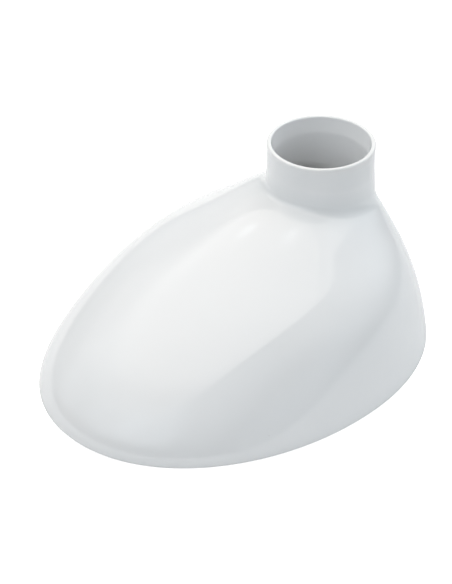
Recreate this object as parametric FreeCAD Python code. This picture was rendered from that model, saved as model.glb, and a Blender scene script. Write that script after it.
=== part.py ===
import FreeCAD, Part
import math
import os
from collections import namedtuple

# A porcelain bowl insert, standing mouth down. A thin egg-shaped shell rises from a flat mouth rim
# to a low crown, and a round outlet collar stands on the crown, near the steep rear end.
# It is built as two castings: the bowl, which ends in a short neck, and the collar, a ring that is
# luted onto the flat top of that neck. Glaze hides the joint.
#
# Frame: millimetres, +Z up, +X towards the long front slope. The origin is the middle of the mouth,
# on the plane of its rim. The object is symmetric about the XZ plane.

Vector = FreeCAD.Vector

# The dome's control rings, from the mouth to the crown: each one's height, where its front and rear
# ends lie along X, and its half width. The skin passes through the mouth ring and is drawn towards
# the others, as a spline is towards its control points. It closes over the outlet's axis.
Ring = namedtuple("Ring", "height front rear half_width")
MOUTH = Ring(0.0, 157.0, -157.0, 124.5)
SKIRT = Ring(20.0, 158.0, -158.0, 118.5)
SHOULDER = Ring(65.0, 87.0, -139.5, 108.5)
BROW = Ring(89.0, 26.0, -132.0, 68.0)
CROWN = Ring(118.0, -40.5, -119.5, 33.0)
RINGS = (MOUTH, SKIRT, SHOULDER, BROW, CROWN)

OUTLINE_FULLNESS = 2.08  # exponent of a level outline: 2 is an ellipse, more is squarer
EGG_SHIFT = 0.025  # makes an outline blunter at the rear, as a share of its half length
OUTLINE_POINTS = 24
SECTIONS = 9
LAST_SECTION = 2.72  # spline parameter of the highest section, whose outline lies inside the bore

WALL = 4.5
CROWN_INSET_SHARE = 0.45  # share of the sideways inset that is given up at the crown

OUTLET_X = -86.5
COLLAR_RADIUS = 40.0
COLLAR_TOP = 147.5
NECK_TOP = 121.0  # the flat seat between the bowl's neck and the collar
NECK_FOOT = 60.0  # where the neck's solid starts, inside the dome
FOOT_TOP = 130.0  # below this height the outside widens downwards, from the collar into the neck
NECK_DRAFT = 3.5  # degrees of that widening, and of the bore's below the seat
BORE_RADIUS = COLLAR_RADIUS - WALL
ROOT_RADIUS_FRONT = 6.0  # fillet between the dome and the neck, ahead of the outlet
ROOT_RADIUS_REAR = 20.0  # and behind it

LIP_FLARE_DEPTH = 13.0  # the bore opens out over this depth below the lip
LIP_BORE_RADIUS = 36.7
LIP_BEVEL_OUTER = 1.6
LIP_BEVEL_INNER = 1.2
RIM_BEVEL_OUTER = 1.5
RIM_BEVEL_INNER = 1.0

BEYOND = 5.0  # how far a cutting shape runs past what it cuts
SNAP = 0.05  # how near a point has to lie to a wall or a plane to belong to it
EDGE_SAMPLES = 9  # points looked at along an edge, to tell which edge it is


def inset_rings(inset):
    """The control rings moved in by a wall: sideways where the wall stands, down where it lies flat."""
    moved = []
    for ring in RINGS:
        flatness = ring.height / CROWN.height
        side = inset * (1 - CROWN_INSET_SHARE * flatness)
        drop = inset * math.sqrt(flatness)
        moved.append(Ring(ring.height - drop, ring.front - side, ring.rear + side, ring.half_width - side))
    return moved


def guide_curve(points):
    """A clamped cubic spline with one inner span for each control point past the fourth."""
    spans = len(points) - 3
    mults = [4] + [1] * (spans - 1) + [4]
    curve = Part.BSplineCurve()
    curve.buildFromPolesMultsKnots(points, mults, list(range(spans + 1)), False, 3)
    return curve


def signed_power(value, exponent):
    return math.copysign(abs(value) ** exponent, value)


def outline(front, rear, half_width, height):
    """One level section of the dome: a closed egg-shaped wire, parametrised by angle."""
    middle = (front + rear) / 2
    half_length = (front - rear) / 2
    shift = EGG_SHIFT * half_length
    power = 2 / OUTLINE_FULLNESS
    angles = [2 * math.pi * step / OUTLINE_POINTS for step in range(OUTLINE_POINTS + 1)]
    points = []
    for angle in angles[:-1]:
        along = half_length * signed_power(math.cos(angle), power) + shift * (math.cos(2 * angle) - 1)
        across = half_width * signed_power(math.sin(angle), power)
        points.append(Vector(middle + along, across, height))
    curve = Part.BSplineCurve()
    curve.interpolate(Points=points, PeriodicFlag=True, Parameters=angles)
    return Part.Wire([curve.toShape()])


def dome(inset):
    """The closed dome as a solid, lofted through level sections that ride on three guide curves."""
    rings = inset_rings(inset)
    top = rings[-1].height
    front = guide_curve([Vector(ring.front, 0, ring.height) for ring in rings] + [Vector(OUTLET_X, 0, top)])
    rear = guide_curve([Vector(ring.rear, 0, ring.height) for ring in rings] + [Vector(OUTLET_X, 0, top)])
    side = guide_curve([Vector(0, ring.half_width, ring.height) for ring in rings] + [Vector(0, 0, top)])
    wires = []
    for step in range(SECTIONS + 1):
        place = LAST_SECTION * step / SECTIONS
        ahead = front.value(place)
        wires.append(outline(ahead.x, rear.value(place).x, side.value(place).y, ahead.z))
    return Part.makeLoft(wires, True, False)


def neck_radius(inset, height):
    """Radius of the neck's outer wall, which widens from the collar's foot, or of its bore if inset."""
    widens_below = NECK_TOP if inset else FOOT_TOP
    return COLLAR_RADIUS - inset + (widens_below - height) * math.tan(math.radians(NECK_DRAFT))


def neck(inset, top):
    """The neck as a solid cone on the outlet's axis, from inside the dome up to a height."""
    foot = Vector(OUTLET_X, 0, NECK_FOOT)
    return Part.makeCone(neck_radius(inset, NECK_FOOT), neck_radius(inset, top), top - NECK_FOOT, foot)


def half_space():
    """A box that holds the +Y half of the object."""
    length = MOUTH.front - MOUTH.rear + 2 * BEYOND
    corner = Vector(MOUTH.rear - BEYOND, 0, -BEYOND)
    return Part.makeBox(length, MOUTH.half_width + BEYOND, COLLAR_TOP + 3 * BEYOND, corner)


def root_edge(half, inset):
    """The edge where dome and neck meet: on the wall of the neck, not level, off the plane of symmetry."""
    for edge in half.Edges:
        points = edge.discretize(EDGE_SAMPLES)
        on_neck = all(abs(math.hypot(p.x - OUTLET_X, p.y) - neck_radius(inset, p.z)) < SNAP for p in points)
        rise = max(p.z for p in points) - min(p.z for p in points)
        if on_neck and rise > SNAP and points[EDGE_SAMPLES // 2].y > SNAP:
            return edge
    raise ValueError("the dome and the neck do not meet in one edge")


def half_skin(inset, top):
    """The +Y half of the dome and neck as one solid, with a root fillet that swells towards the rear."""
    half = dome(inset).fuse(neck(inset, top)).common(half_space()).removeSplitter()
    edge = root_edge(half, inset)
    radii = [ROOT_RADIUS_REAR + inset, ROOT_RADIUS_FRONT + inset]
    if edge.Vertexes[0].Point.x > edge.Vertexes[-1].Point.x:
        radii.reverse()
    return half.makeFillet(radii[0], radii[1], [edge])


def level_edges(shape, height):
    """The curved edges of a shape that lie in one level plane."""
    found = []
    for edge in shape.Edges:
        straight = isinstance(edge.Curve, Part.Line)
        if not straight and all(abs(p.z - height) < SNAP for p in edge.discretize(EDGE_SAMPLES)):
            found.append(edge)
    return found


def bowl():
    """The bowl casting: two mirrored halves of an even wall, from the mouth rim to the neck's flat seat."""
    half = half_skin(0.0, NECK_TOP).cut(half_skin(WALL, NECK_TOP + BEYOND))
    rim_edges = level_edges(half, 0.0)
    half = half.makeChamfer(RIM_BEVEL_OUTER, [max(rim_edges, key=lambda edge: edge.Length)])
    rim_edges = level_edges(half, 0.0)
    half = half.makeChamfer(RIM_BEVEL_INNER, [min(rim_edges, key=lambda edge: edge.Length)])
    return half.fuse(half.mirror(Vector(0, 0, 0), Vector(0, 1, 0))).removeSplitter()


def outlet_collar():
    """The collar casting: a ring on a widening foot, whose bore opens out towards a softened lip."""
    seat = Vector(OUTLET_X, 0, NECK_TOP)
    foot_top = Vector(OUTLET_X, 0, FOOT_TOP)
    flare_foot = Vector(OUTLET_X, 0, COLLAR_TOP - LIP_FLARE_DEPTH)
    foot = Part.makeCone(neck_radius(0.0, NECK_TOP), COLLAR_RADIUS, FOOT_TOP - NECK_TOP, seat)
    barrel = Part.makeCylinder(COLLAR_RADIUS, COLLAR_TOP - FOOT_TOP, foot_top)
    bore = Part.makeCylinder(BORE_RADIUS, COLLAR_TOP - NECK_TOP, seat)
    flare = Part.makeCone(BORE_RADIUS, LIP_BORE_RADIUS, LIP_FLARE_DEPTH, flare_foot)
    ring = foot.fuse(barrel).cut(bore).cut(flare)
    lip_edges = level_edges(ring, COLLAR_TOP)
    ring = ring.makeChamfer(LIP_BEVEL_OUTER, [max(lip_edges, key=lambda edge: edge.Length)])
    lip_edges = level_edges(ring, COLLAR_TOP)
    return ring.makeChamfer(LIP_BEVEL_INNER, [min(lip_edges, key=lambda edge: edge.Length)])


def save(name, shape):
    """Writes one node's solid and prints its volume and box."""
    solids = shape.Solids
    if len(solids) != 1 or not solids[0].isValid():
        raise ValueError(f"{name} is not one valid solid")
    solids[0].exportStep(f"parts/{name}.step")
    box = solids[0].BoundBox
    print(f"{name}: {solids[0].Volume / 1000:.1f} cm3, {len(solids[0].Faces)} faces, "
          f"{box.XLength:.1f} x {box.YLength:.1f} x {box.ZLength:.1f} mm, from z {box.ZMin:.2f}")


os.makedirs("parts", exist_ok=True)
save("bowl", bowl())
save("outlet_collar", outlet_collar())
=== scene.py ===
"""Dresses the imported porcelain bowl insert: smooth glazed skins in place of the two CAD castings.

Both pieces are closed meshes of one grid each. Every column of the grid is a profile in an upright plane
through the outlet's axis, and every row runs once round that axis. Their lengths are millimetres until a
mesh is made.
"""

import math
from collections import namedtuple

import bpy
import numpy as np
from mathutils import Matrix, Vector


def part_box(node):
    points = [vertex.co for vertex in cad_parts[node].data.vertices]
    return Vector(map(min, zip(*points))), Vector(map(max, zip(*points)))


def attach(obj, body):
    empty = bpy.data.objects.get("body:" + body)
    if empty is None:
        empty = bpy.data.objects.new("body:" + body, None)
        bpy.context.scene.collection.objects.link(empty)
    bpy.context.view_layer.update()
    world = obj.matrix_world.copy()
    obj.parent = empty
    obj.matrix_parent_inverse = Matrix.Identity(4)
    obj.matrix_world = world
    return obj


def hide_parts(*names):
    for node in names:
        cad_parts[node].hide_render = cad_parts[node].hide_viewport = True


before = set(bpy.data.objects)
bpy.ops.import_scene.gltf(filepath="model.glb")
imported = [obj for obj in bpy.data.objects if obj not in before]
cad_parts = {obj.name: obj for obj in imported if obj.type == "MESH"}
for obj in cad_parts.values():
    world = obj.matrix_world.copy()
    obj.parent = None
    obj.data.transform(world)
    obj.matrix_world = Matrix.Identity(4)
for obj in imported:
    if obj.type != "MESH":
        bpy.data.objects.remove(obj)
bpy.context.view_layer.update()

MM = 0.001
SAME_HEIGHT = 1e-6  # in metres, how near two heights lie that count as one

# The form, with the same driving values as the CAD. Each ring: height, front end, rear end and half width.
RINGS = np.array(
    [
        (0.0, 157.0, -157.0, 124.5),
        (20.0, 158.0, -158.0, 118.5),
        (65.0, 87.0, -139.5, 108.5),
        (89.0, 26.0, -132.0, 68.0),
        (118.0, -40.5, -119.5, 33.0),
    ]
)
OUTLINE_FULLNESS = 2.08
EGG_SHIFT = 0.025
WALL = 4.5
CROWN_INSET_SHARE = 0.45
ROOT_RADIUS_FRONT = 6.0
ROOT_RADIUS_REAR = 20.0
FOOT_TOP = 130.0
NECK_DRAFT = math.radians(3.5)
LIP_FLARE_DEPTH = 13.0

# What the CAD leaves plain: soft edges, a slight bead at the lip, a soft start of the neck's widening, and a
# bore that draws in a little up to the foot of its flare.
LIP_BORE_RADIUS = 37.0
BORE_NARROWING = 0.3
LIP_ROUND_OUTER = 1.6
LIP_ROUND_INNER = 1.2
RIM_ROUND_OUTER = 1.5
RIM_ROUND_INNER = 1.0
LIP_BEAD = 0.25
LIP_BEAD_DEPTH = 6.5
WIDENING_EASE = 6.0

# Where the collar stands comes from the frame.
collar_low, collar_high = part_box("outlet_collar")
OUTLET_X = (collar_low.x + collar_high.x) / 2 / MM
SEAT = collar_low.z / MM
LIP = collar_high.z / MM
COLLAR_RADIUS = (collar_high.y - collar_low.y) / 2 / MM - (FOOT_TOP - SEAT) * math.tan(NECK_DRAFT)

# How finely the grids are laid.
COLUMNS = 288
DOME_ROWS = 72
ROOT_ROWS = 18
EDGE_ROWS = 8
NECK_ROWS = 8
COLLAR_ROWS = 32
HALVINGS = 42  # steps of each search by halving
ROOT_PLACES = (0.5, 2.9)  # the places on the dome between which the root fillet ends
RIM_PLACES = (2e-3, 1.0)  # and those between which the rim's rounding starts

# Glaze depth on the dome, the collar's darker tone on that scale, and how far the pool and edges reach.
DOME_DEPTH = 0.6
COLLAR_TONE = 0.4
# The pool darkens the root fillet: thick glaze there, and painted shade in the crease.
POOL_SHADE_SPREAD = 13.0
EDGE_SPREAD = 2.2

# The camera, solved from the outline in the photograph.
PHOTO_WIDTH = 452
PHOTO_HEIGHT = 584
FOCAL_PX = 2000.0
CAMERA_PITCH = 0.611
CAMERA_YAW = 3.86997
LIP_CENTRE_PX = (321.38, 141.61)
PX_PER_MM = 1.36167  # at the centre of the lip
SENSOR_MM = 36.0


def knot_weights(place):
    """The six cubic B-spline weights on the clamped knots 0 0 0 0 1 2 3 3 3 3."""
    knots = np.array([0, 0, 0, 0, 1, 2, 3, 3, 3, 3], float)
    last = 5
    span = np.clip(np.floor(place), 0, 2).astype(int) + 3
    weights = [np.where(span == i, 1.0, 0.0) for i in range(len(knots) - 1)]
    for degree in (1, 2, 3):
        for i in range(len(knots) - 1 - degree):
            rise = knots[i + degree] - knots[i]
            fall = knots[i + degree + 1] - knots[i + 1]
            up = (place - knots[i]) / rise * weights[i] if rise else 0
            down = (knots[i + degree + 1] - place) / fall * weights[i + 1] if fall else 0
            weights[i] = up + down
    return weights[: last + 1]


def control(place, inset):
    """Height, front end, rear end and half width of the dome, at a place from mouth 0 to crown 3."""
    flatness = RINGS[:, 0] / RINGS[-1, 0]
    side = inset * (1 - CROWN_INSET_SHARE * flatness)
    drop = inset * np.sqrt(flatness)
    poles = RINGS + np.stack([-drop, -side, side, -side], axis=1)
    poles = np.vstack([poles, (poles[-1, 0], OUTLET_X, OUTLET_X, 0.0)])
    weights = knot_weights(place)
    return [sum(w * poles[i, column] for i, w in enumerate(weights)) for column in range(4)]


def outline(angle, front, rear, half_width):
    """A point of one egg-shaped level section."""
    middle = (front + rear) / 2
    half_length = (front - rear) / 2
    power = 2 / OUTLINE_FULLNESS
    across, along = np.sin(angle), np.cos(angle)
    x = middle + half_length * np.sign(along) * np.abs(along) ** power
    x = x + EGG_SHIFT * half_length * (np.cos(2 * angle) - 1)
    return x, half_width * np.sign(across) * np.abs(across) ** power


def column_azimuths():
    """Azimuths round the outlet's axis that meet the mouth's outline at even steps of its own angle."""
    angle = np.arange(COLUMNS) * 2 * math.pi / COLUMNS - math.pi
    x, y = outline(angle, *control(np.zeros(1), 0.0)[1:])
    return np.arctan2(y, x - OUTLET_X)


def halving(is_past, low, high, shape):
    """For each column, the value between low and high where is_past turns true."""
    low = np.full(shape, float(low))
    high = np.full(shape, float(high))
    for _ in range(HALVINGS):
        middle = (low + high) / 2
        past = is_past(middle)
        low, high = np.where(past, low, middle), np.where(past, middle, high)
    return (low + high) / 2


def reach(place, azimuth, inset):
    """Distance from the outlet's axis to the dome's skin along each azimuth, and its height."""
    height, front, rear, half_width = control(place, inset)
    turn = np.abs(azimuth)

    def past(angle):
        x, y = outline(angle, front, rear, half_width)
        return (x - OUTLET_X) * np.sin(turn) - y * np.cos(turn) <= 0

    x, y = outline(halving(past, 0.0, math.pi, turn.shape), front, rear, half_width)
    return np.hypot(x - OUTLET_X, y), height + 0 * x


def reach_normal(place, azimuth, inset):
    """The skin's outward normal within each upright plane."""
    step = 1e-3
    r1, z1 = reach(place + step, azimuth, inset)
    r0, z0 = reach(place - step, azimuth, inset)
    length = np.hypot(r1 - r0, z1 - z0)
    return (z1 - z0) / length, (r0 - r1) / length


def wall_radius(height, inset):
    """Radius of the collar's and neck's outer wall, or of their bore if inset. It starts to widen softly."""
    below = (SEAT if inset else FOOT_TOP) - height
    eased = np.maximum(below + WIDENING_EASE, 0) ** 2 / (4 * WIDENING_EASE)
    return COLLAR_RADIUS - inset + np.where(below > WIDENING_EASE, below, eased) * math.tan(NECK_DRAFT)


def straight(start, end, rows):
    """Rows of points on a straight line."""
    shares = [row / rows for row in range(rows + 1)]
    return [tuple(a + (b - a) * share for a, b in zip(start, end)) for share in shares]


def arc(centre, radius, start, end, rows):
    """Rows of points on an arc, from one angle to the other."""
    angles = [start + (end - start) * row / rows for row in range(rows + 1)]
    return [(centre[0] + radius * np.cos(a), centre[1] + radius * np.sin(a)) for a in angles]


def root_arc(azimuth, inset):
    """The fillet between neck and dome, from the neck down, and the place on the dome where it ends."""
    swell = (1 - np.cos(azimuth)) / 2
    radius = ROOT_RADIUS_FRONT + (ROOT_RADIUS_REAR - ROOT_RADIUS_FRONT) * swell + inset

    def centre(place):
        r, z = reach(place, azimuth, inset)
        across, up = reach_normal(place, azimuth, inset)
        return r + radius * across, z + radius * up

    def clears_neck(place):
        r, z = centre(place)
        wall = COLLAR_RADIUS - inset + ((SEAT if inset else FOOT_TOP) - z) * math.tan(NECK_DRAFT)
        return (r - wall) * math.cos(NECK_DRAFT) < radius

    end = halving(clears_neck, *ROOT_PLACES, azimuth.shape)
    across, up = reach_normal(end, azimuth, inset)
    low = np.arctan2(-up, -across) % (2 * math.pi)
    return arc(centre(end), radius, math.pi + NECK_DRAFT, low, ROOT_ROWS), end


def rim_arc(azimuth, inset, radius):
    """The rounding between the dome's skin and the ground face of the rim, from the skin down."""
    side = 1 if inset == 0 else -1

    def centre(place):
        r, z = reach(place, azimuth, inset)
        across, up = reach_normal(place, azimuth, inset)
        return r - side * radius * across, z - side * radius * up

    start = halving(lambda place: centre(place)[1] > radius, *RIM_PLACES, azimuth.shape)
    across, up = reach_normal(start, azimuth, inset)
    high = np.arctan2(side * up, side * across)
    low = -math.pi / 2
    high = np.where(high > math.pi / 2, high - 2 * math.pi, high)
    return arc(centre(start), radius, high, low, EDGE_ROWS), start


def skin(azimuth, inset, rim_radius):
    """One skin's profile, from the neck's seat down to the rim's ground face."""
    root, top = root_arc(azimuth, inset)
    edge, bottom = rim_arc(azimuth, inset, rim_radius)
    heights = [SEAT + (root[0][1] - SEAT) * row / NECK_ROWS for row in range(NECK_ROWS)]
    neck = [(wall_radius(height, inset), height + 0 * azimuth) for height in heights]
    dome = [reach(top + (bottom - top) * row / DOME_ROWS, azimuth, inset) for row in range(1, DOME_ROWS)]
    return neck + root + dome + edge


def bowl_profile(azimuth):
    """The bowl's closed profile, down the outer skin and up the inner one, and which rows lie inside."""
    outer = skin(azimuth, 0.0, RIM_ROUND_OUTER)
    inner = skin(azimuth, WALL, RIM_ROUND_INNER)
    return outer + inner[::-1], [0.0] * len(outer) + [1.0] * len(inner)


def collar_profile(azimuth):
    """The collar's closed profile, up its bore, over the lip and down its outside, and which rows lie inside.

    Over the lip that goes from 1, inside, to 0.
    """
    outer = LIP_ROUND_OUTER
    inner = LIP_ROUND_INNER
    bead_radius = COLLAR_RADIUS + LIP_BEAD
    flare = math.atan2(LIP_BORE_RADIUS - (COLLAR_RADIUS - WALL) + BORE_NARROWING, LIP_FLARE_DEPTH)
    inner_start = LIP_BORE_RADIUS + inner / math.cos(flare) - inner * math.tan(flare)
    bore = []
    for height in np.linspace(SEAT, LIP - LIP_FLARE_DEPTH, NECK_ROWS):
        share = (height - SEAT) / (LIP - LIP_FLARE_DEPTH - SEAT)
        bore.append((wall_radius(height, WALL) - BORE_NARROWING * share, height))
    lip_in = arc((inner_start, LIP - inner), inner, math.pi - flare, math.pi / 2, EDGE_ROWS)
    lip_out = arc((bead_radius - outer, LIP - outer), outer, math.pi / 2, 0.0, EDGE_ROWS)
    wall = []
    for height in np.linspace(LIP - outer, SEAT, COLLAR_ROWS):
        share = min(max((height - LIP + LIP_BEAD_DEPTH) / (LIP_BEAD_DEPTH - outer), 0), 1)
        wall.append((wall_radius(height, 0.0) + LIP_BEAD * share * share * (3 - 2 * share), height))
    inner_wall = bore[:-1] + straight(bore[-1], lip_in[0], NECK_ROWS)
    lip = lip_in[1:] + lip_out
    inside = [1.0] * len(inner_wall) + list(np.linspace(1.0, 0.0, len(lip))) + [0.0] * len(wall[1:])
    return [(r + 0 * azimuth, z + 0 * azimuth) for r, z in inner_wall + lip + wall[1:]], inside


def grid_mesh(name, azimuth, profile):
    """A closed mesh from profile rows, each an array of radii and one of heights round the outlet's axis."""
    rows, columns = len(profile), len(azimuth)
    radius = np.array([row[0] for row in profile])
    height = np.array([row[1] for row in profile])
    x = OUTLET_X + radius * np.cos(azimuth)
    y = radius * np.sin(azimuth)
    points = np.stack([x, y, height], axis=-1).reshape(-1, 3) * MM
    faces = []
    for row in range(rows):
        below = (row + 1) % rows
        for column in range(columns):
            beside = (column + 1) % columns
            faces.append(
                (
                    row * columns + column,
                    below * columns + column,
                    below * columns + beside,
                    row * columns + beside,
                )
            )
    mesh = bpy.data.meshes.new(name)
    mesh.from_pydata(points.tolist(), [], faces)
    mesh.shade_smooth()
    return mesh


def sharpen_seat(mesh):
    """Keeps the hidden seat at the joint flat, so that the walls on both sides of the joint shade as one."""
    seat = SEAT * MM
    on_seat = [abs(vertex.co.z - seat) < SAME_HEIGHT for vertex in mesh.vertices]
    for edge in mesh.edges:
        if all(on_seat[i] for i in edge.vertices):
            edge.use_edge_sharp = True


def glaze_depth_and_shade(profile, azimuth):
    """Glaze depth at each vertex: 0 where it draws off an edge, 1 in the root fillet's pool and painted
    shade.

    The collar is given a darker colour than the dome, because its tone is darker in the photograph.
    """
    root = root_arc(azimuth, 0.0)[0][ROOT_ROWS // 2]
    radius = np.array([row[0] for row in profile])
    height = np.array([row[1] for row in profile])
    pooled_and_shaded = np.exp(-(((radius - root[0]) ** 2 + (height - root[1]) ** 2) / POOL_SHADE_SPREAD**2))
    drawn_off = np.exp(-height / EDGE_SPREAD) + np.exp((height - LIP) / EDGE_SPREAD)
    up_collar = np.clip((height - SEAT) / (FOOT_TOP - SEAT), 0, 1)
    wall = DOME_DEPTH + (COLLAR_TONE - DOME_DEPTH) * up_collar
    return (wall + (1 - wall) * pooled_and_shaded - wall * drawn_off).reshape(-1)


def add_piece(name, node_name, shape, azimuth):
    """Makes one casting and puts it in the CAD node's place."""
    profile, inside = shape
    mesh = grid_mesh(name, azimuth, profile)
    sharpen_seat(mesh)
    # The inside share marks where the colour is painted lighter, as painted light in the bore.
    shares = {"glaze_depth_and_shade": glaze_depth_and_shade(profile, azimuth), "inside_light": np.repeat(inside, len(azimuth))}
    for key, values in shares.items():
        mesh.attributes.new(key, "FLOAT", "POINT").data.foreach_set("value", values.astype(np.float32))
    piece = bpy.data.objects.new(name, mesh)
    bpy.context.scene.collection.objects.link(piece)
    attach(piece, "root")
    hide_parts(node_name)
    return piece


def node(tree, kind, **settings):
    """A new node with its settings made."""
    made = tree.nodes.new(kind)
    for key, value in settings.items():
        setattr(made, key, value)
    return made


def ramp(tree, source, low, high, to_low, to_high):
    """A number that goes smoothly from one value to another while its source goes from low to high."""
    made = node(tree, "ShaderNodeMapRange", interpolation_type="SMOOTHSTEP")
    for key, value in zip(("From Min", "From Max", "To Min", "To Max"), (low, high, to_low, to_high)):
        made.inputs[key].default_value = value
    tree.links.new(source, made.inputs["Value"])
    return made.outputs["Result"]


def maths(tree, operation, first, second):
    """A Math node of two sources, each a socket or a number."""
    made = node(tree, "ShaderNodeMath", operation=operation)
    for socket, source in zip(made.inputs, (first, second)):
        if isinstance(source, (int, float)):
            socket.default_value = source
        else:
            tree.links.new(source, socket)
    return made.outputs[0]


def noise(tree, place, size_mm, detail=2.0):
    """Smooth noise whose features are about this size."""
    made = node(tree, "ShaderNodeTexNoise")
    made.inputs["Scale"].default_value = 1 / (size_mm * MM)
    made.inputs["Detail"].default_value = detail
    tree.links.new(place, made.inputs["Vector"])
    return made.outputs["Fac"]


def direction(azimuth, elevation):
    """A unit vector from two angles in degrees."""
    azimuth, elevation = math.radians(azimuth), math.radians(elevation)
    level = math.cos(elevation)
    return math.cos(azimuth) * level, math.sin(azimuth) * level, math.sin(elevation)


# The glaze, and the body that it leaves bare. Sizes and heights are millimetres.
GLAZE_IOR = 1.6
GLAZE_COLOURS = [
    (0.0, (0.83, 0.825, 0.81, 1)),  # thin over the body, at an edge
    (COLLAR_TONE, (0.838, 0.846, 0.847, 1)),
    (DOME_DEPTH, (0.868, 0.875, 0.876, 1)),
    # Darkest in the root fillet: thick glaze, and painted shade in the crease.
    (1.0, (0.83, 0.848, 0.852, 1)),  # thick, in the fillet
]
# Painted light: the bowl's inner skin and the collar's bore are coloured lighter, for light reaching in.
INSIDE_LIGHT_COLOUR = (0.95, 0.955, 0.955, 1)
CLOUD_COLOUR = (0.848, 0.86, 0.863, 1)
CLOUD_SIZE = 65.0
CLOUD_DETAIL = 3.0
CLOUD_RANGE = (0.35, 0.75)  # the noise values between which a cloud grows to its strength
CLOUD_STRENGTH = 0.6
SPECK_COLOUR = (0.45, 0.40, 0.34, 1)
SPECK_SPACING = 16.0
SPECK_RARITY = 0.93  # the share of places for a speck that stay empty
SPECK_RADII = (0.012, 0.022)  # where its edge starts and ends, as a share of the spacing
SPECK_STRENGTH = 0.55
BISQUE_COLOUR = (0.79, 0.765, 0.72, 1)
BISQUE_HEIGHTS = (0.15, 0.55)  # the glaze starts between these heights above the rim's ground face
BISQUE_ROUGHNESS = 0.5
GLOSS_PATCH_SIZE = 30.0
GLOSS_RANGE = (0.3, 0.7)  # the noise values between which the gloss goes from one roughness to the other
GLOSS_ROUGHNESS = (0.045, 0.085)
RELIEF_DETAIL = 1.0
WAVE_SIZE = 45.0
WAVE_HEIGHT = 0.15
PEEL_SIZE = 3.2
PEEL_HEIGHT = 0.004
GRAIN_SIZE = 0.5
GRAIN_HEIGHT = 0.06

# The Mix node's sockets for colours.
MIX_BELOW, MIX_ABOVE, MIX_RESULT = 6, 7, 2


def glaze_material():
    """White porcelain under a clear gloss glaze, bare and matt where the mouth rim is ground flat."""
    material = bpy.data.materials.new("glazed_porcelain")
    material.use_nodes = True
    tree = material.node_tree
    shader = tree.nodes["Principled BSDF"]
    shader.inputs["IOR"].default_value = GLAZE_IOR
    place = node(tree, "ShaderNodeTexCoord").outputs["Object"]

    # Colour: by glaze depth and the fillet's painted shade, with faint clouds and a few tiny specks.
    depth = node(tree, "ShaderNodeAttribute", attribute_name="glaze_depth_and_shade").outputs["Fac"]
    colour = node(tree, "ShaderNodeValToRGB")
    elements = colour.color_ramp.elements
    while len(elements) < len(GLAZE_COLOURS):
        elements.new(0.5)
    for element, (position, value) in zip(elements, GLAZE_COLOURS):
        element.position, element.color = position, value
    tree.links.new(depth, colour.inputs["Fac"])

    def blend(share, below, above):
        mix = node(tree, "ShaderNodeMix", data_type="RGBA")
        tree.links.new(share, mix.inputs["Factor"])
        tree.links.new(below, mix.inputs[MIX_BELOW])
        mix.inputs[MIX_ABOVE].default_value = above
        return mix.outputs[MIX_RESULT]

    # Inside, the colour is painted lighter, standing in for light that fills the bore.
    inside = node(tree, "ShaderNodeAttribute", attribute_name="inside_light").outputs["Fac"]
    cloud = ramp(tree, noise(tree, place, CLOUD_SIZE, CLOUD_DETAIL), *CLOUD_RANGE, 0.0, CLOUD_STRENGTH)
    clouded_and_lit = blend(inside, blend(cloud, colour.outputs[0], CLOUD_COLOUR), INSIDE_LIGHT_COLOUR)
    cells = node(tree, "ShaderNodeTexVoronoi")
    cells.inputs["Scale"].default_value = 1 / (SPECK_SPACING * MM)
    tree.links.new(place, cells.inputs["Vector"])
    lottery = node(tree, "ShaderNodeSeparateColor")
    tree.links.new(cells.outputs["Color"], lottery.inputs[0])
    chosen = maths(tree, "GREATER_THAN", lottery.outputs[0], SPECK_RARITY)
    dot = ramp(tree, cells.outputs["Distance"], *SPECK_RADII, SPECK_STRENGTH, 0.0)
    specked = blend(maths(tree, "MULTIPLY", chosen, dot), clouded_and_lit, SPECK_COLOUR)
    height = node(tree, "ShaderNodeSeparateXYZ")
    tree.links.new(place, height.inputs[0])
    bare_below, glazed_above = BISQUE_HEIGHTS
    bare = ramp(tree, height.outputs["Z"], bare_below * MM, glazed_above * MM, 1.0, 0.0)
    tree.links.new(blend(bare, specked, BISQUE_COLOUR), shader.inputs["Base Color"])

    # Gloss: almost a mirror, a little softer in broad patches, and matt where the rim is ground.
    gloss = ramp(tree, noise(tree, place, GLOSS_PATCH_SIZE), *GLOSS_RANGE, *GLOSS_ROUGHNESS)
    matt = maths(tree, "MULTIPLY", bare, BISQUE_ROUGHNESS)
    tree.links.new(maths(tree, "ADD", gloss, matt), shader.inputs["Roughness"])

    # Relief: the slow waves of a cast wall, the faint peel of the glaze, and the grain of the ground rim.
    waves = maths(tree, "MULTIPLY", noise(tree, place, WAVE_SIZE, RELIEF_DETAIL), WAVE_HEIGHT * MM)
    peel = maths(tree, "MULTIPLY", noise(tree, place, PEEL_SIZE, RELIEF_DETAIL), PEEL_HEIGHT * MM)
    on_bare = maths(tree, "MULTIPLY", noise(tree, place, GRAIN_SIZE), bare)
    grain = maths(tree, "MULTIPLY", on_bare, GRAIN_HEIGHT * MM)
    bump = node(tree, "ShaderNodeBump")
    bump.inputs["Distance"].default_value = 1.0
    tree.links.new(maths(tree, "ADD", maths(tree, "ADD", waves, peel), grain), bump.inputs["Height"])
    tree.links.new(bump.outputs["Normal"], shader.inputs["Normal"])
    return material


# The lights, matched to the tones and reflections in the photograph. Places are metres, angles are degrees,
# and strengths are radiances, of which 1 shows as white. The object's front is +X, and the camera is on its
# near side, +Y.
LAMP_COLOUR = (1.05, 1.0, 0.95)
SKY_COLOUR = (0.92, 1.0, 1.07)

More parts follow.
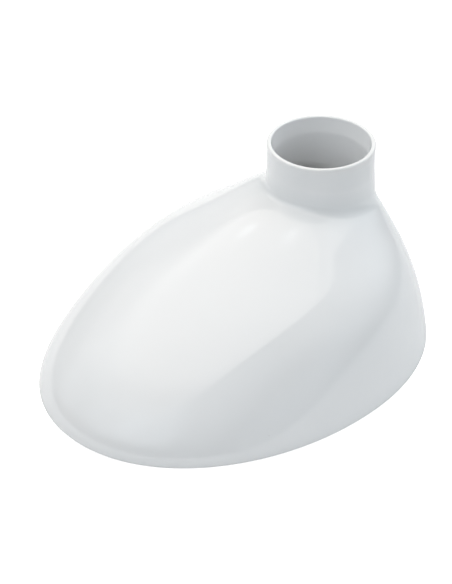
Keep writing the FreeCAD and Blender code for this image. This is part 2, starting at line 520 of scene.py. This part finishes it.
# Level softboxes overhead, each from a low to a high corner. The first two make the bright field in the
# glaze, which ends sharply with them at BOX_SIDE and BOX_END. A fade is the share of a softbox over which its
# light falls off towards a side: low X, high X, low Y and high Y. An oval cuts the light down to an ellipse:
# full up to one share of its half axes, and gone at another.
Softbox = namedtuple("Softbox", "name low high layer radiance fades oval", defaults=(None,))
Oval = namedtuple("Oval", "middle half_axes full_to gone_at")
BOX_HEIGHT = 1.5
LAYER_GAP = 0.02  # softboxes that overlap in one plane would hide each other in the glaze
BOX_SIDE = -0.49
BOX_END = 0.57
FIELD_FADES = (0, 0, 0, 0.02)
CORE_OVAL = Oval(middle=(0, -0.52), half_axes=(0.98, 1.23), full_to=0.8, gone_at=1.15)
GLOW_OVAL = Oval(middle=(0.1, -0.4), half_axes=(1.6, 1.9), full_to=0.3, gone_at=1.1)
SOFTBOXES = [
    Softbox("core", (BOX_SIDE, -2.0), (1.2, BOX_END), 0, 0.72, FIELD_FADES, CORE_OVAL),
    Softbox("glow", (BOX_SIDE, -2.4), (1.9, BOX_END), 1, 0.9, FIELD_FADES, GLOW_OVAL),
    Softbox("rear", (-8.0, -3.0), (BOX_SIDE, BOX_END), 0, 0.44, (0, 0, 0.3, 0.01)),
    Softbox("rear_key", (-1.4, -1.2), (BOX_SIDE, BOX_END), -1, 0.66, (1, 0, 0.5, 0.01)),
    Softbox("left", (-0.6, -4.0), (1.2, -1.2), 2, 0.42, (0.3, 0.3, 0.4, 0.3)),
]

# Soft lobes of sky, each strongest at its middle and gone at its spread.
Lobe = namedtuple("Lobe", "azimuth elevation spread strength")
LOW_BAND = [Lobe(azimuth, 12, 42, 0.34) for azimuth in (135, 180, 225, 270)]  # near side, rear and far side
FRONT = [Lobe(azimuth, 36, 26, 0.92) for azimuth in (-15, 15)]
NEAR = [Lobe(azimuth, 42, 36, 0.42) for azimuth in (45, 135)]
REAR = Lobe(180, 42, 36, 0.9)
FAR_FRONT = Lobe(-55, 32, 26, 0.55)
LOW_NEAR = Lobe(95, 8, 26, 0.42)
BROAD_NEAR = Lobe(70, 40, 70, 0.1)
GLINTS = [Lobe(-98, 54, 4, 1.1), Lobe(-135, 77, 5, 0.85)]
LOBES = [*LOW_BAND, *FRONT, *NEAR, REAR, FAR_FRONT, LOW_NEAR, BROAD_NEAR, *GLINTS]

# The floor. Its light for reflections grows towards one azimuth, between two distances from the middle.
FLOOR_HALF = 4.0
FLOOR_COLOUR = (0.95, 0.95, 0.95, 1)
FLOOR_ROUGHNESS = 0.8
FLOOR_LIFT = 0.55  # the light added for the camera, which makes it white
MIRRORED_LIFT = 0.2
MIRRORED_AZIMUTH = 85
MIRRORED_DISTANCES = (0.06, 0.14)


def ellipse(tree, place, centre, size, oval):
    """A share of light that is 1 inside an oval and fades to 0 outside it, over a softbox's face."""
    squares = []
    for axis in (0, 1):
        middle = 0.5 + (oval.middle[axis] - centre[axis]) / size[axis]
        offset = maths(tree, "SUBTRACT", place.outputs[axis], middle)
        shares = maths(tree, "MULTIPLY", offset, size[axis] / oval.half_axes[axis])
        squares.append(maths(tree, "POWER", shares, 2.0))
    return ramp(tree, maths(tree, "ADD", *squares), oval.full_to**2, oval.gone_at**2, 1.0, 0.0)


def add_softbox(box):
    """A level softbox that shines down."""
    centre = [(low + high) / 2 for low, high in zip(box.low, box.high)]
    size = [high - low for low, high in zip(box.low, box.high)]
    data = bpy.data.lights.new(box.name, "AREA")
    data.shape = "RECTANGLE"
    data.size, data.size_y = size
    data.energy = box.radiance * math.pi * size[0] * size[1]
    data.color = LAMP_COLOUR
    data.use_nodes = True
    tree = data.node_tree
    face = node(tree, "ShaderNodeNewGeometry")
    place = node(tree, "ShaderNodeSeparateXYZ")
    tree.links.new(face.outputs["Parametric"], place.inputs[0])
    strength = ellipse(tree, place, centre, size, box.oval) if box.oval else 1.0
    sides = [(axis, side) for axis in (0, 1) for side in (0, 1)]
    for (axis, side), fade in zip(sides, box.fades):
        if fade:
            inward = side + fade * (1 - 2 * side)
            shade = ramp(tree, place.outputs[axis], side, inward, 0.0, 1.0)
            strength = maths(tree, "MULTIPLY", strength, shade)
    tree.links.new(strength, tree.nodes["Emission"].inputs["Strength"])
    lamp = bpy.data.objects.new(box.name, data)
    lamp.location = (*centre, BOX_HEIGHT + box.layer * LAYER_GAP)
    bpy.context.scene.collection.objects.link(lamp)


def add_camera():
    """The photograph's camera: the centre of the lip lies at its pixel, at the depth that its scale gives."""
    cos_pitch, sin_pitch = math.cos(CAMERA_PITCH), math.sin(CAMERA_PITCH)
    right = Vector((math.cos(CAMERA_YAW), -math.sin(CAMERA_YAW), 0))
    look = Vector((math.sin(CAMERA_YAW) * cos_pitch, math.cos(CAMERA_YAW) * cos_pitch, -sin_pitch))
    up = right.cross(look)
    depth = FOCAL_PX / PX_PER_MM * MM
    across = (LIP_CENTRE_PX[0] - PHOTO_WIDTH / 2) / FOCAL_PX * depth
    below = (LIP_CENTRE_PX[1] - PHOTO_HEIGHT / 2) / FOCAL_PX * depth
    lip_centre = Vector((OUTLET_X, 0, LIP)) * MM
    data = bpy.data.cameras.new("camera")
    data.sensor_width = SENSOR_MM
    data.lens = FOCAL_PX / PHOTO_HEIGHT * SENSOR_MM
    camera = bpy.data.objects.new("camera", data)
    axes = Matrix((right, up, -look)).transposed().to_4x4()
    camera.matrix_world = Matrix.Translation(lip_centre - right * across + up * below - look * depth) @ axes
    bpy.context.scene.collection.objects.link(camera)
    bpy.context.scene.camera = camera


def add_floor():
    """A plain white floor that keeps the shadow, lifted to pure white for the camera."""
    mesh = bpy.data.meshes.new("floor")
    corners = [(x * FLOOR_HALF, y * FLOOR_HALF, 0) for x, y in ((-1, -1), (1, -1), (1, 1), (-1, 1))]
    mesh.from_pydata(corners, [], [(0, 1, 2, 3)])
    floor = bpy.data.objects.new("floor", mesh)
    bpy.context.scene.collection.objects.link(floor)
    material = bpy.data.materials.new("floor")
    material.use_nodes = True
    tree = material.node_tree
    shader = tree.nodes["Principled BSDF"]
    shader.inputs["Base Color"].default_value = FLOOR_COLOUR
    shader.inputs["Roughness"].default_value = FLOOR_ROUGHNESS
    shader.inputs["Emission Color"].default_value = (1, 1, 1, 1)
    path = node(tree, "ShaderNodeLightPath")
    for_camera = maths(tree, "MULTIPLY", path.outputs["Is Camera Ray"], FLOOR_LIFT)
    mirrored = maths(tree, "MAXIMUM", path.outputs["Is Glossy Ray"], path.outputs["Is Transmission Ray"])
    distance = node(tree, "ShaderNodeVectorMath", operation="DOT_PRODUCT")
    distance.inputs[1].default_value = direction(MIRRORED_AZIMUTH, 0)
    tree.links.new(node(tree, "ShaderNodeTexCoord").outputs["Object"], distance.inputs[0])
    share = ramp(tree, distance.outputs["Value"], *MIRRORED_DISTANCES, 0.0, MIRRORED_LIFT)
    total = maths(tree, "ADD", for_camera, maths(tree, "MULTIPLY", mirrored, share))
    tree.links.new(total, shader.inputs["Emission Strength"])
    mesh.materials.append(material)


def add_sky():
    """The lobes, on a black sky. The camera sees a plain white one instead."""
    world = bpy.data.worlds.new("studio")
    bpy.context.scene.world = world
    world.use_nodes = True
    tree = world.node_tree
    sky = tree.nodes["Background"]
    sky.inputs["Color"].default_value = (*SKY_COLOUR, 1)
    looking = node(tree, "ShaderNodeTexCoord").outputs["Generated"]
    total = 0.0
    for lobe in LOBES:
        nearness = node(tree, "ShaderNodeVectorMath", operation="DOT_PRODUCT")
        nearness.inputs[1].default_value = direction(lobe.azimuth, lobe.elevation)
        tree.links.new(looking, nearness.inputs[0])
        edge = math.cos(math.radians(lobe.spread))
        light = ramp(tree, nearness.outputs["Value"], edge, 1.0, 0.0, lobe.strength)
        total = maths(tree, "ADD", total, light)
    tree.links.new(total, sky.inputs["Strength"])
    plain = node(tree, "ShaderNodeBackground")
    plain.inputs["Color"].default_value = (1, 1, 1, 1)
    seen = node(tree, "ShaderNodeMixShader")
    tree.links.new(node(tree, "ShaderNodeLightPath").outputs["Is Camera Ray"], seen.inputs[0])
    tree.links.new(sky.outputs[0], seen.inputs[1])
    tree.links.new(plain.outputs[0], seen.inputs[2])
    tree.links.new(seen.outputs[0], tree.nodes["World Output"].inputs["Surface"])


AZIMUTHS = column_azimuths()
glaze = glaze_material()
pieces = [
    add_piece("bowl_glazed", "bowl", bowl_profile(AZIMUTHS), AZIMUTHS),
    add_piece("collar_glazed", "outlet_collar", collar_profile(AZIMUTHS), AZIMUTHS),
]
for piece in pieces:
    piece.data.materials.append(glaze)

add_floor()
add_sky()
for box in SOFTBOXES:
    add_softbox(box)
add_camera()
bpy.context.scene.view_settings.view_transform = "Standard"
